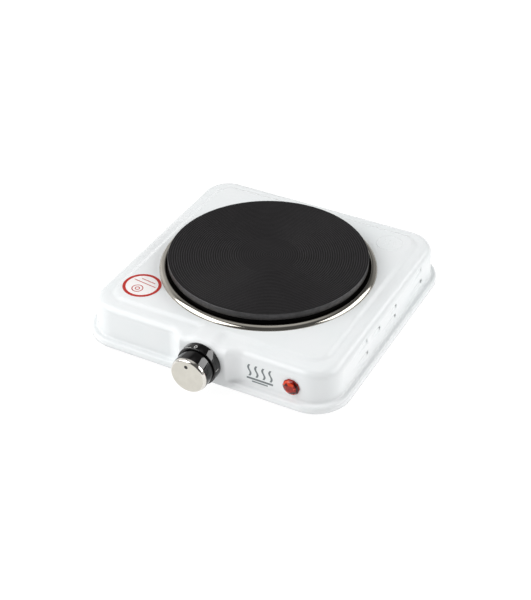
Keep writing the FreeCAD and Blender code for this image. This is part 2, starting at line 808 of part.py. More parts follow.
def main():
    os.makedirs("parts", exist_ok=True)
    write("top_housing", top_housing())
    write("bottom_cover", bottom_cover())
    corners = {"front_left": (-1, -1), "front_right": (1, -1), "rear_left": (-1, 1), "rear_right": (1, 1)}
    screw_places = []
    for name, (side_x, side_y) in corners.items():
        x = side_x * foot_x
        y = side_y * foot_y
        write("foot_" + name, foot(x, y))
        write("foot_bracket_" + name, foot_bracket(x, y))
        screw_places.append((x, y, 0))
    write("foot_screws", spread(foot_screw(), screw_places))

    write("heating_plate", heating_plate())
    write("heating_coils", Part.makeCompound(coil_rings()))
    write("ceramic_filler", ceramic_filler())
    write("plate_under_cover", plate_under_cover())
    write("plate_terminal_block", plate_terminal_block())
    write("plate_terminal_pins", terminal_pins())
    write("spill_ring", spill_ring())
    write("centre_stud", upright(stud_radius, 0, 0, stud_bottom, stud_top))
    shield_top = bridge_level + bridge_sheet + shield_sheet
    write("stud_spacer", disc_ring(stud_radius + 0.2, 7.0, shield_top, plate_bottom - under_cover_sheet))
    write("heat_shield", heat_shield())
    write("clamp_bridge", clamp_bridge())
    write("clamp_washer", disc_ring(stud_radius + 0.2, 7.0, bridge_level - 0.8, bridge_level))
    write("clamp_nut", hexagon(10.0, 0, 0, bridge_level - 5.8, bridge_level - 0.8, stud_radius))

    write("knob_barrel", knob_barrel())
    write("knob_cap", knob_cap())
    write("knob_spring_clip", knob_spring_clip())
    write("dial_ring", dial_ring())
    write("thermostat_spindle", thermostat_spindle())
    write("spindle_bush", spindle_bush())
    write("spindle_circlip", spindle_circlip())
    write("thermostat_cam", thermostat_cam())
    write("cam_lever", cam_lever())
    write("lever_pivot_pin", lever_pivot_pin())
    write("thermostat_frame", thermostat_frame())
    write("thermostat_screws", thermostat_screws())
    write("stack_rivet", stack_rivet())
    write("ceramic_spacers", ceramic_spacers())
    write("bimetal_strip", blade(-10, 22, -16.5, -15.9))
    write("fixed_contact_blade", blade(-6, 30, -14.2, -13.8))
    write("moving_contact_blade", blade(-6, 30, -11.2, -10.9))
    write("contact_rivets", contact_rivets())

    write("indicator_lens", indicator_lens())
    write("indicator_clip", indicator_clip())
    write("lamp_holder", lamp_holder())
    write("neon_bulb", neon_bulb())
    write("ballast_resistor", ballast_resistor())

    write("mains_terminal_block", mains_terminal_block())
    write("terminal_screws", terminal_screws())
    write("cord_grommet", cord_grommet())
    write("earth_stud", earth_stud())
    write("earth_ring_terminal", earth_ring_terminal())
    write("earth_nut", earth_nut())
    write("live_lead", live_lead())
    write("switched_lead", switched_lead())
    write("neutral_lead", neutral_lead())
    write("lamp_live_lead", lamp_live_lead())
    write("lamp_neutral_lead", lamp_neutral_lead())
    write("earth_lead", earth_lead())
    write("notice_sticker", notice_sticker())


main()
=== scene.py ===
import json
import math

import bmesh
import bpy
import numpy as np
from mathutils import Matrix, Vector


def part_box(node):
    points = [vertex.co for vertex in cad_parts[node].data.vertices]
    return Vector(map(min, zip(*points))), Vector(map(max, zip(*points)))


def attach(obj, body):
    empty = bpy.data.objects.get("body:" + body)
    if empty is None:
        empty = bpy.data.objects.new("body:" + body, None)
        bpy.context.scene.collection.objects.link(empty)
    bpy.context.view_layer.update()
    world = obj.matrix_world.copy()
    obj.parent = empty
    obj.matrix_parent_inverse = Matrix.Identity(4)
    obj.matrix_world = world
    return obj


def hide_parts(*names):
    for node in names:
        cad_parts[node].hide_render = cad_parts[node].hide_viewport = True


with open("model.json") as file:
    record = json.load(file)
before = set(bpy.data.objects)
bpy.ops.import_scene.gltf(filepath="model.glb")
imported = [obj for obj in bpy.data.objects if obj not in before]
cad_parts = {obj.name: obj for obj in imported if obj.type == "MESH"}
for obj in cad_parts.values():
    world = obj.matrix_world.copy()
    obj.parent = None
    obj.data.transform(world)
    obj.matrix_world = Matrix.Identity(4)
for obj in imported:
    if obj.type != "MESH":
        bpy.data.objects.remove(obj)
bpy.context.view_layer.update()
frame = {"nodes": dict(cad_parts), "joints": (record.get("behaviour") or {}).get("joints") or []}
print("frame loaded")

mm = 0.001

# Sizes and places below are in millimetres about the housing's own centre and lower edge.
# toFrame turns that into the frame's metres.
flangeLow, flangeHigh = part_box("top_housing")
flangeHalf = (flangeHigh.x - flangeLow.x) / 2 / mm
centreX = (flangeHigh.x + flangeLow.x) / 2
centreY = flangeHigh.y - flangeHalf * mm
housingOrigin = np.array([centreX, centreY, flangeLow.z])


def toFrame(points):
    return np.asarray(points, float) * mm + housingOrigin


def fromFrame(point):
    return (np.array(point, float) - housingOrigin) / mm


knobAxis = fromFrame(frame["joints"][0]["pos_m"])
lensLow, lensHigh = (fromFrame(corner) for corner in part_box("indicator_lens"))
plateLow, plateHigh = (fromFrame(corner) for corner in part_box("heating_plate"))
ringLow, ringHigh = (fromFrame(corner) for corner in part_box("spill_ring"))


def linear(hexColour):
    # sRGB hex to linear: ((c + 0.055) / 1.055) to the power 2.4, or c / 12.92 when dark
    values = [int(hexColour[i:i + 2], 16) / 255 for i in (1, 3, 5)]
    return [v / 12.92 if v <= 0.04045 else ((v + 0.055) / 1.055) ** 2.4 for v in values] + [1.0]


def addNode(tree, kind, settings=None, links=None):
    # one node: settings are its inputs or its own properties, links join its inputs to sockets
    node = tree.nodes.new(kind)
    for key, value in (settings or {}).items():
        if key in node.inputs:
            node.inputs[key].default_value = value
        else:
            setattr(node, key, value)
    for key, socket in (links or {}).items():
        tree.links.new(socket, node.inputs[key])
    return node


def startMaterial(name, shader):
    material = bpy.data.materials.new(name)
    material.use_nodes = True
    tree = material.node_tree
    tree.nodes.clear()
    out = addNode(tree, "ShaderNodeOutputMaterial")
    principled = addNode(tree, "ShaderNodeBsdfPrincipled", shader)
    tree.links.new(principled.outputs["BSDF"], out.inputs["Surface"])
    coords = addNode(tree, "ShaderNodeTexCoord").outputs["Object"]
    return material, tree, principled, coords


def perMillimetre(size):
    # a noise scale whose cells are this many millimetres across
    return 1.0 / (size * mm)


def mottle(tree, coords, target, cell, dark, light, detail):
    # a noise of the given cell size that moves the colour between two close tones
    noise = addNode(tree, "ShaderNodeTexNoise", {"Scale": perMillimetre(cell), "Detail": detail},
                    {"Vector": coords})
    ramp = addNode(tree, "ShaderNodeValToRGB", {}, {"Fac": noise.outputs["Fac"]})
    ramp.color_ramp.elements[0].position = 0.3
    ramp.color_ramp.elements[1].position = 0.7
    ramp.color_ramp.elements[0].color = linear(dark)
    ramp.color_ramp.elements[1].color = linear(light)
    tree.links.new(ramp.outputs["Color"], target.inputs["Base Color"])
    return noise


def grain(tree, coords, target, cell, height, stretch=(1, 1, 1), detail=2.0):
    # fine relief of the given cell size and height in millimetres
    mapping = addNode(tree, "ShaderNodeMapping", {"Scale": stretch}, {"Vector": coords})
    noise = addNode(tree, "ShaderNodeTexNoise", {"Scale": perMillimetre(cell), "Detail": detail},
                    {"Vector": mapping.outputs["Vector"]})
    bump = addNode(tree, "ShaderNodeBump", {"Distance": height * mm, "Strength": 1.0},
                   {"Height": noise.outputs["Fac"]})
    tree.links.new(bump.outputs["Normal"], target.inputs["Normal"])
    return noise


def roughnessFrom(tree, noise, target, low, high):
    spread = addNode(tree, "ShaderNodeMapRange", {"To Min": low, "To Max": high},
                     {"Value": noise.outputs["Fac"]})
    tree.links.new(spread.outputs["Result"], target.inputs["Roughness"])


def finishOf(name, shader, tones, relief, rough, toneDetail=3.0, stretch=(1, 1, 1)):
    # tones: cell in mm and two close colours; relief: cell and height in mm;
    # rough: lowest and highest roughness, which follows the relief
    material, tree, principled, coords = startMaterial(name, shader)
    mottle(tree, coords, principled, *tones, detail=toneDetail)
    noise = grain(tree, coords, principled, *relief, stretch=stretch)
    roughnessFrom(tree, noise, principled, *rough)
    return material


# Powder coat baked on steel: a bright cool white with a wet gloss and a faint orange peel
def powderCoat():
    # peel waves are about 2.4 mm apart
    return finishOf("white_powder_coat", {
        "IOR": 1.5, "Specular IOR Level": 0.38, "Coat Weight": 0.15, "Coat Roughness": 0.06,
        "Coat IOR": 1.5}, (45.0, "#EAEEEF", "#EEF0F1"), (2.4, 0.012), (0.18, 0.28))


# Cast iron with a baked black finish: dull near-black, the turned lands paler and the grooves painted
# near-black as shade
def castIron(grooveStep, firstGroove):
    material, tree, shader, coords = startMaterial("black_cast_iron", {
        "IOR": 1.5, "Specular IOR Level": 0.22})
    noise = grain(tree, coords, shader, 0.5, 0.02, detail=3.0)  # casting sand, 0.5 mm
    roughnessFrom(tree, noise, shader, 0.50, 0.68)
    centred = addNode(tree, "ShaderNodeMapping", {"Location": [-v for v in toFrame([0, 0, 0])]},
                      {"Vector": coords})
    # rings(r) = (1 - cos(2 pi (r - first) / step)) / 2, one in the bottom of a groove, where the painted
    # shade is;
    # the wave node turns through 20 radians in a length of 1 / scale
    turn = 2 * math.pi
    rings = addNode(tree, "ShaderNodeTexWave", {
        "wave_type": "RINGS", "rings_direction": "Z", "Scale": turn / (20 * grooveStep * mm),
        "Phase Offset": -turn * (firstGroove / grooveStep % 1)}, {"Vector": centred.outputs["Vector"]})
    tint = addNode(tree, "ShaderNodeTexNoise", {"Scale": perMillimetre(14.0), "Detail": 2.0},
                   {"Vector": coords})
    land = addNode(tree, "ShaderNodeMix", {"data_type": "RGBA"}, {"Factor": tint.outputs["Fac"]})
    land.inputs["A"].default_value = linear("#252325")
    land.inputs["B"].default_value = linear("#2E2C2E")
    landAndGrooveShade = addNode(tree, "ShaderNodeMix", {"data_type": "RGBA"}, {"Factor": rings.outputs["Fac"]})
    tree.links.new(land.outputs["Result"], landAndGrooveShade.inputs["A"])
    # groove bottoms: near-black painted shade
    landAndGrooveShade.inputs["B"].default_value = linear("#030303")
    tree.links.new(landAndGrooveShade.outputs["Result"], shader.inputs["Base Color"])
    return material


# The iron below the rim, unturned, painted near-black as shade so the gap under the rim reads dark
def ironPaintedShade():
    return finishOf("cast_iron_painted_shade", {"Specular IOR Level": 0.15},
                    (5.0, "#060606", "#0B0B0B"), (0.9, 0.06), (0.75, 0.90))


# Turned rim of the iron: bare turned metal, smoother than the top, and painted lighter as a highlight along
# the rim
def turnedIronPaintedHighlight():
    return finishOf("turned_iron_rim_painted_highlight", {"Metallic": 0.85},
                    (4.0, "#454445", "#535253"), (0.35, 0.01), (0.34, 0.46), stretch=(1, 1, 6))


# Polished stainless sheet: mirror with a warm tint and faint spinning lines
def polishedStainless():
    return finishOf("polished_stainless", {"Metallic": 1.0},
                    (22.0, "#AEAAA1", "#BFBBB3"), (1.2, 0.0015), (0.06, 0.14), stretch=(1, 1, 4))


# Stainless in the well, painted near-black brown as shade in the gap under the plate's edge
def stainlessPaintedShade():
    return finishOf("stainless_painted_shade", {"Metallic": 1.0},
                    (12.0, "#2A2520", "#3A342C"), (1.2, 0.002), (0.25, 0.40), stretch=(1, 1, 4))


# Zinc-plated sheet: dull grey with a soft spangle
def zincSheet():
    return finishOf("zinc_plated_sheet", {"Metallic": 0.9},
                    (6.0, "#8E9294", "#A9ADAE"), (3.0, 0.006), (0.30, 0.52), toneDetail=1.0)


# Bright turned steel of screws, studs and nuts: fine tool lines along the surface
def turnedSteel():
    return finishOf("turned_steel", {"Metallic": 1.0},
                    (1.5, "#8A8885", "#A3A19D"), (0.3, 0.004), (0.25, 0.40), stretch=(1, 1, 5))


# Dull nickel-chrome wire: dark grey with an oxide bloom
def resistanceWire():
    return finishOf("nickel_chrome_wire", {"Metallic": 0.8},
                    (1.0, "#4A4744", "#6A665F"), (0.6, 0.05), (0.45, 0.65), stretch=(3, 3, 1))


# Unglazed fired ceramic: chalky cream with tiny pits
def firedCeramic():
    return finishOf("fired_ceramic", {"IOR": 1.6},
                    (2.0, "#D2C9B6", "#E2DBCB"), (0.25, 0.015), (0.60, 0.80))


# High-gloss black phenolic: deep black that mirrors the lamps as crisp shapes
def glossPhenolic():
    return finishOf("gloss_black_phenolic", {"IOR": 1.5, "Specular IOR Level": 0.5},
                    (3.0, "#060606", "#0B0A0B"), (5.0, 0.002), (0.03, 0.07))


# Bright chrome plate on the knob's rim: clean mirror, faintly warm
def chromePlate():
    return finishOf("bright_chrome_plate", {"Metallic": 1.0},
                    (4.0, "#D8D5CF", "#E3E0DA"), (3.0, 0.0008), (0.04, 0.08))


# Satin chrome face: the plate over a blasted mould, so light spreads to a pearl sheen
def satinChrome():
    return finishOf("satin_chrome_face", {"Metallic": 1.0},
                    (6.0, "#CCC9C0", "#D4D1C8"), (0.12, 0.002), (0.34, 0.44))


# Clear red polycarbonate with cut facets: each facet takes the middle red, or a darker copy as painted shade,
# or a brighter copy as a painted highlight
def redLens(name, dark, light):
    return finishOf(name, {"IOR": 1.5, "Specular IOR Level": 0.35},
                    (2.5, dark, light), (1.5, 0.002), (0.05, 0.12))


# Matt black moulded rubber: dark, slightly dusty, fine mould texture
def mouldedRubber():
    return finishOf("moulded_rubber", {"IOR": 1.52},
                    (3.0, "#171717", "#232222"), (0.4, 0.03), (0.65, 0.85))


# Moulded nylon or silicone in its own or a dyed colour: soft sheen, faint flow marks
def mouldedPolymer(name, dark, light):
    return finishOf(name, {"IOR": 1.53}, (5.0, dark, light), (0.8, 0.01), (0.38, 0.55))


# Rolled spring bronze or brass: warm metal with rolling lines
def rolledBrass():
    return finishOf("rolled_brass", {"Metallic": 1.0},
                    (2.0, "#A98743", "#C29F57"), (0.3, 0.003), (0.25, 0.40), stretch=(1, 6, 6))


# Thin clear glass of the neon bulb
def bulbGlass():
    return finishOf("bulb_glass", {"IOR": 1.5, "Transmission Weight": 0.9},
                    (3.0, "#F4E4D6", "#FBEFE4"), (1.0, 0.002), (0.04, 0.10))


# Printed vinyl: smooth warm white film with a low sheen
def vinylFilm():
    return finishOf("vinyl_film", {"IOR": 1.5},
                    (8.0, "#F4F0EF", "#F8F6F5"), (0.9, 0.004), (0.30, 0.42))


# Screen ink: flat pigment with a slightly uneven film
def screenInk(name, dark, light):
    return finishOf(name, {"IOR": 1.48}, (1.2, dark, light), (0.3, 0.004), (0.35, 0.50))


# Floor of the studio: a pale light table, opal acrylic that glows a little from beneath
def lightTable():
    return finishOf("opal_light_table", {
        "IOR": 1.4, "Specular IOR Level": 0.1, "Emission Color": linear("#FFFFFF"),
        "Emission Strength": 0.94}, (120.0, "#707070", "#747474"), (1.5, 0.02), (0.85, 0.95))


plate = {
    "grooveStep": 2.15, "grooveDepth": 0.5, "rimLand": 0.9, "centre": 28.0, "centreDrop": 0.25,
    "centreWall": 0.35, "centreStep": 1.075, "centreDepth": 0.06, "pole": 0.6, "edge": 0.55,
    "rim": 6.5, "neck": 89.5, "seat": 41.8, "skirt": 85.0, "segments": 240,
}

finish = {
    "enamel": powderCoat(), "iron": castIron(plate["grooveStep"], plate["centre"]), "ironPaintedShade": ironPaintedShade(),
    "rim": turnedIronPaintedHighlight(), "stainless": polishedStainless(), "wellSteelPaintedShade": stainlessPaintedShade(),
    "zinc": zincSheet(), "steel": turnedSteel(), "wire": resistanceWire(), "ceramic": firedCeramic(),
    "black": glossPhenolic(), "chrome": chromePlate(), "satin": satinChrome(),
    "lens": redLens("red_polycarbonate", "#7E150E", "#A02417"),
    # the deep and the bright red are painted shade and painted highlight on the lens facets
    "lensPaintedShade": redLens("red_polycarbonate_painted_shade", "#2A0806", "#4A100B"),
    "lensPaintedHighlight": redLens("red_polycarbonate_painted_highlight", "#C5341D", "#E2522F"),
    "rubber": mouldedRubber(), "brass": rolledBrass(), "glass": bulbGlass(), "vinyl": vinylFilm(),
    "nylon": mouldedPolymer("natural_nylon", "#D9D4C6", "#E6E2D6"),
    "darkNylon": mouldedPolymer("black_nylon", "#141414", "#1F1F1F"),
    "brownLead": mouldedPolymer("brown_silicone_sleeve", "#3B2012", "#4C2A18"),
    "blueLead": mouldedPolymer("blue_silicone_sleeve", "#1A3F86", "#24509F"),
    "redLead": mouldedPolymer("red_silicone_sleeve", "#8A1712", "#A5221B"),
    "earthLead": mouldedPolymer("green_silicone_sleeve", "#5E8A1E", "#86A82A"),
    "blackFill": screenInk("black_paint_fill", "#0B0B0B", "#141313"),
    "whiteInk": screenInk("white_screen_ink", "#C9C9C7", "#DADAD8"),
    "greyInk": screenInk("grey_screen_ink", "#6F7678", "#7C8385"),
    "redInk": screenInk("red_screen_ink", "#B3271F", "#C22F26"),
    "board": lightTable(),
}
print("materials made")


def gridFaces(rows, columns, wrapRows, wrapColumns):
    # quads between neighbouring samples of a rows x columns grid
    i = np.arange(rows if wrapRows else rows - 1)
    j = np.arange(columns if wrapColumns else columns - 1)
    a, b = np.meshgrid(i, j, indexing="ij")
    nextA = (a + 1) % rows
    nextB = (b + 1) % columns
    quads = [a * columns + b, nextA * columns + b, nextA * columns + nextB, a * columns + nextB]
    return np.stack(quads, -1).reshape(-1, 4)


def inScene(name, data):
    holder = bpy.data.objects.new(name, data)
    bpy.context.scene.collection.objects.link(holder)
    return holder


def addPiece(name, points, faces, body, materials, sharp=38.0, materialIndex=None, closed=True):
    # one finished piece: a closed shell has its doubles merged and its normals turned outwards
    mesh = bpy.data.meshes.new(name)
    mesh.from_pydata(toFrame(points).tolist(), [], faces.tolist())
    for material in materials:
        mesh.materials.append(finish[material])
    if materialIndex is not None:
        mesh.polygons.foreach_set("material_index", np.asarray(materialIndex, np.int32))
    if closed:
        work = bmesh.new()
        work.from_mesh(mesh)
        bmesh.ops.remove_doubles(work, verts=work.verts, dist=1e-7)
        bmesh.ops.recalc_face_normals(work, faces=work.faces)
        work.to_mesh(mesh)
        work.free()
    mesh.polygons.foreach_set("use_smooth", np.ones(len(mesh.polygons), bool))
    mesh.set_sharp_from_angle(angle=math.radians(sharp))
    mesh.update()
    piece = inScene(name, mesh)
    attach(piece, body)
    return piece


def arc(centreR, centreZ, radiusR, radiusZ, start, end, count):
    # part of an ellipse: centre + (a cos t, b sin t), with t in degrees
    t = np.radians(np.linspace(start, end, count))
    return np.stack([centreR + radiusR * np.cos(t), centreZ + radiusZ * np.sin(t)], -1)


def turnedPoints(profile, segments):
    # (r, z) profile spun about z: (r cos t, r sin t, z)
    t = np.arange(segments) * 2 * math.pi / segments
    r, z = profile[:, 0], profile[:, 1]
    return np.stack([r[None] * np.cos(t)[:, None], r[None] * np.sin(t)[:, None],
                     np.broadcast_to(z[None], (segments, len(z)))], -1)


def upFrom(x, y):
    # a turned shape standing upright at (x, y)
    return lambda p: p + np.array([x, y, 0.0])


def forwardFrom(x, y, z):
    # a turned shape whose own z axis points to the front: (x + u, y - w, z + v)
    return lambda p: np.stack([x + p[..., 0], y - p[..., 2], z + p[..., 1]], -1)


def backwardFrom(x, y, z):
    # the same to the rear: (x - u, y + w, z + v)
    return lambda p: np.stack([x - p[..., 0], y + p[..., 2], z + p[..., 1]], -1)


def addTurned(name, profile, segments, place, body, materials, sharp=38.0, bands=None, loop=True):
    # a turned piece; bands gives the material number of each span of the profile
    profile = np.asarray(profile, float)
    grid = turnedPoints(profile, segments)
    faces = gridFaces(segments, len(profile), True, loop)
    index = None if bands is None else np.tile(bands, segments)
    return addPiece(name, place(grid).reshape(-1, 3), faces, body, materials, sharp, index)


def softCorners(corners, radius, count=5):
    # a closed outline whose corners are cut back by radius, or by 0.45 of a short edge, and
    # joined by the curve (1 - t)^2 start + 2 t (1 - t) corner + t^2 end
    corners = np.asarray(corners, float)
    before = np.roll(corners, 1, axis=0)
    after = np.roll(corners, -1, axis=0)
    radii = np.broadcast_to(np.asarray(radius, float), (len(corners),))[:, None]
    toBefore = before - corners
    toAfter = after - corners
    lengthBefore = np.linalg.norm(toBefore, axis=1, keepdims=True)
    lengthAfter = np.linalg.norm(toAfter, axis=1, keepdims=True)
    mostCut = 0.45
    start = corners + toBefore / lengthBefore * np.minimum(radii, mostCut * lengthBefore)
    end = corners + toAfter / lengthAfter * np.minimum(radii, mostCut * lengthAfter)
    t = np.linspace(0, 1, count)[None, :, None]
    curve = (1 - t) ** 2 * start[:, None] + 2 * t * (1 - t) * corners[:, None] + t ** 2 * end[:, None]
    return curve.reshape(-1, 2)


def smoothStep(x, low, high):
    # 0 below low, 1 above high, and 3t^2 - 2t^3 between
    t = np.clip((x - low) / (high - low), 0, 1)
    return t * t * (3 - 2 * t)


# top housing: one pressing, from the flange lip up the wall to the plate's hole
housing = {
    "flangeTop": 6.5, "flangeRound": 3.0, "footRound": 2.2, "lipBelow": 1.0,
    "wallHalf": 122.7, "draft": 0.4, "cornerCentre": 94.7,
    "shoulder": 9.0, "borderTop": 38.9, "borderHold": 1.2,
    "panelFoot": 109.5, "panelHalf": 103.6, "panelTop": 41.3, "panelHold": 0.8,
    "panelFootCorner": 91.0, "panelCorner": 90.0, "hole": 87.0, "sheet": 0.8,
    "bossX": 2.5, "bossFront": 129.0, "bossFlat": 22.5, "bossRoot": 38.0, "bossPower": 0.65,
    "bossFine": 20.0, "bossBorder": 0.6, "ridgeFlat": 8.5, "ridgeRoot": 15.0, "ridgeX": 1.5,
    "scoopDepth": 1.15, "scoopHalf": 1.2, "scoopFade": 2.4, "scoopKnee": 2.0, "scoopEnd": 0.6,
    "mouthHalf": 0.95, "slack": 0.05,
    "inward": (0.12, 0.35, 0.65, 1.0),  # shares of the way from the panel's edge to the hole
}
# pressed vents on each side: where the ramp starts and ends along the side, and its height
scoops = [(mouth - 32.5, mouth, 15.4) for mouth in (-46.1, 15.1, 76.3)]
scoops += [(-78.0, -48.0, 29.6), (44.0, 74.5, 29.6), (-42.0, -20.6, 25.6), (-6.0, 16.2, 25.6)]


def housingProfile(h):
    # stations up the pressing as (half width, height) and where its corner arcs are centred:
    # quarter circles joined by straight runs, and a step 3t^2 - 2t^3 up to the panel
    wallTop = h["borderTop"] - h["shoulder"]
    wallHigh = h["wallHalf"] - h["draft"]
    roundR = h["flangeRound"]
    lip = np.array([[flangeHalf, 0.0], [flangeHalf, h["flangeTop"] - roundR - h["lipBelow"]]])
    edge = arc(flangeHalf - roundR, h["flangeTop"] - roundR, roundR, roundR, 0, 90, 8)
    foot = arc(h["wallHalf"] + h["footRound"], h["flangeTop"] + h["footRound"],
               h["footRound"], h["footRound"], 270, 180, 7)
    rise = np.linspace(0, 1, 24)[1:, None]
    wall = foot[-1] + rise * (np.array([wallHigh, wallTop]) - foot[-1])
    shoulder = arc(wallHigh - h["shoulder"], wallTop, h["shoulder"], h["shoulder"], 0, 90, 14)[1:]
    border = np.array([[h["panelFoot"] + h["borderHold"], h["borderTop"]], [h["panelFoot"], h["borderTop"]]])
    t = np.linspace(0, 1, 11)[1:]
    step = np.stack([h["panelFoot"] + (h["panelHalf"] - h["panelFoot"]) * t,
                     h["borderTop"] + (h["panelTop"] - h["borderTop"]) * t * t * (3 - 2 * t)], -1)
    inner = np.array([[h["panelHalf"] - h["panelHold"], h["panelTop"]]])
    parts = [lip, edge, foot, wall, shoulder, border, step, inner]
    counts = np.cumsum([len(part) for part in parts])
    line = np.concatenate(parts)
    corner = np.full(len(line), h["cornerCentre"])
    corner[counts[4]:counts[5]] = h["panelFootCorner"]
    corner[counts[5]:] = np.linspace(h["panelFootCorner"], h["panelCorner"], len(line) - counts[5])
    return line, corner, counts


def sideSamples(spacing, reach, extra=()):
    # even stations from -reach to reach and the extra ones, none closer than a quarter millimetre
    count = int(2 * reach / spacing)
    t = np.concatenate([np.linspace(-reach, reach, count + 1), np.asarray(extra, float)])
    t = np.unique(np.round(t, 3))
    keep = np.concatenate([[True], np.diff(t) > 0.25])
    return t[keep] / reach


def housingSurface(h):
    # P(u, v) = K(v) a(u) + (w(v) - K(v)) n(u), z(v): a square with quarter-circle corners, where
    # K is the corners' centre, w the half width, a the square of half width 1 and n the normal.
    # Its front is pushed forward to the boss and raised to the ridge
    line, corner, counts = housingProfile(h)
    reach = h["cornerCentre"]
    flank = np.linspace(h["bossFine"], h["bossRoot"], 19)
    front = sideSamples(3.0, reach, np.concatenate([h["bossX"] - flank, h["bossX"] + flank]))
    ends = []
    for start, end, z in scoops:
        ends += [start, (start + end) / 2, end - h["scoopKnee"], end, end + h["scoopEnd"]]
    side = sideSamples(5.0, reach, ends)
    rear = sideSamples(6.0, reach)
    a, n, wallSide = [], [], []
    frontWall, rightWall, rearWall, leftWall, cornerBend = -1, 0, 1, 2, 9  # walls as quarter turns from +x
    for quarter, samples in ((frontWall, front), (rightWall, side), (rearWall, rear), (leftWall, side)):
        angle = math.pi / 2 * quarter
        out = np.array([math.cos(angle), math.sin(angle)])
        along = np.array([-out[1], out[0]])
        bend = angle + np.radians(np.linspace(0, 90, 22)[1:-1])
        a += [out + along * samples[:, None], np.repeat((out + along)[None], len(bend), 0)]
        n += [np.repeat(out[None], len(samples), 0), np.stack([np.cos(bend), np.sin(bend)], -1)]
        wallSide += [np.full(len(samples), quarter), np.full(len(bend), cornerBend)]
    a, n, wallSide = np.concatenate(a), np.concatenate(n), np.concatenate(wallSide)
    alongX, alongY = (a * reach).T

    width, height = line[:, 0], line[:, 1]
    flat = corner[None, :, None] * a[:, None] + (width - corner)[None, :, None] * n[:, None]
    z = np.repeat(height[None], len(a), 0)

    # boss and ridge weights along the front: 1 over the flat, down to 0 at the root
    offset = np.abs(alongX - h["bossX"])
    share = np.clip((offset - h["bossFlat"]) / (h["bossRoot"] - h["bossFlat"]), 0, 1) ** h["bossPower"]
    onFront = wallSide == frontWall
    boss = (1 - smoothStep(share, 0, 1)) * onFront
    ridge = (1 - smoothStep(np.abs(alongX - h["ridgeX"]), h["ridgeFlat"], h["ridgeRoot"])) * onFront
    wallEnd, shoulderEnd, borderEnd = counts[3], counts[4], counts[5]
    push = np.zeros(len(line))
    push[:wallEnd] = h["bossFront"] - width[:wallEnd]
    push[wallEnd:shoulderEnd] = push[wallEnd - 1]
    fade = np.linspace(1, 0, borderEnd - shoulderEnd + 2)[1:-1]
    push[shoulderEnd:borderEnd] = push[wallEnd - 1] * fade * h["bossBorder"]
    bossZ = height.copy()
    bossZ[:wallEnd] = np.linspace(0, height[wallEnd - 1], wallEnd)
    raised = h["panelTop"] - h["borderTop"]
    lift = np.zeros(len(line))
    climb = (height[wallEnd:shoulderEnd] - height[wallEnd - 1]) / h["shoulder"]
    lift[wallEnd:shoulderEnd] = raised * climb
    lift[shoulderEnd:borderEnd] = raised
    lift[borderEnd:] = h["panelTop"] - height[borderEnd:]
    flat[..., 1] -= boss[:, None] * push[None]
    z = z + boss[:, None] * (bossZ - height)[None] + ridge[:, None] * lift[None]

    # vents: the wall is pressed in along a ramp that ends in an open mouth
    depth = np.zeros_like(z)
    mouth = np.zeros((len(a), len(line)), bool)
    onSide = (wallSide == rightWall) | (wallSide == leftWall)
    for start, end, level in scoops:
        ramp = smoothStep(alongY, start, end) * (alongY <= end + h["slack"]) * onSide
        band = 1 - smoothStep(np.abs(z - level), h["scoopHalf"], h["scoopHalf"] + h["scoopFade"])
        depth = np.maximum(depth, ramp[:, None] * band * h["scoopDepth"])
        atEnd = onSide & (alongY > end - h["slack"]) & (alongY < end + h["scoopEnd"] + h["slack"])
        mouth |= atEnd[:, None] & (np.abs(z - level) < h["mouthHalf"])
    flat = flat - depth[..., None] * n[:, None]
    outer = np.concatenate([flat, z[..., None]], -1)

    # panel from its edge in to the round hole, level all the way
    rimPoints = outer[:, -1]
    direction = rimPoints[:, :2] / np.linalg.norm(rimPoints[:, :2], axis=1, keepdims=True)
    circle = np.concatenate([direction * h["hole"], rimPoints[:, 2:]], -1)
    share = np.array(h["inward"])[None, :, None]
    inward = rimPoints[:, None] * (1 - share) + circle[:, None] * share
    points = np.concatenate([outer, inward], 1)
    mouth = np.concatenate([mouth, np.zeros(inward.shape[:2], bool)], 1)
    faces = gridFaces(len(a), points.shape[1], True, False)
    isOpen = mouth.reshape(-1)[faces].all(1)
    return points.reshape(-1, 3), faces[~isOpen]


points, faces = housingSurface(housing)
pressing = addPiece("housing_pressing", points, faces, "base", ["enamel"], sharp=50.0, closed=False)
wallThickness = pressing.modifiers.new("sheet", "SOLIDIFY")
wallThickness.thickness = housing["sheet"] * mm
wallThickness.offset = -1.0
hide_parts("top_housing")
print("housing made")


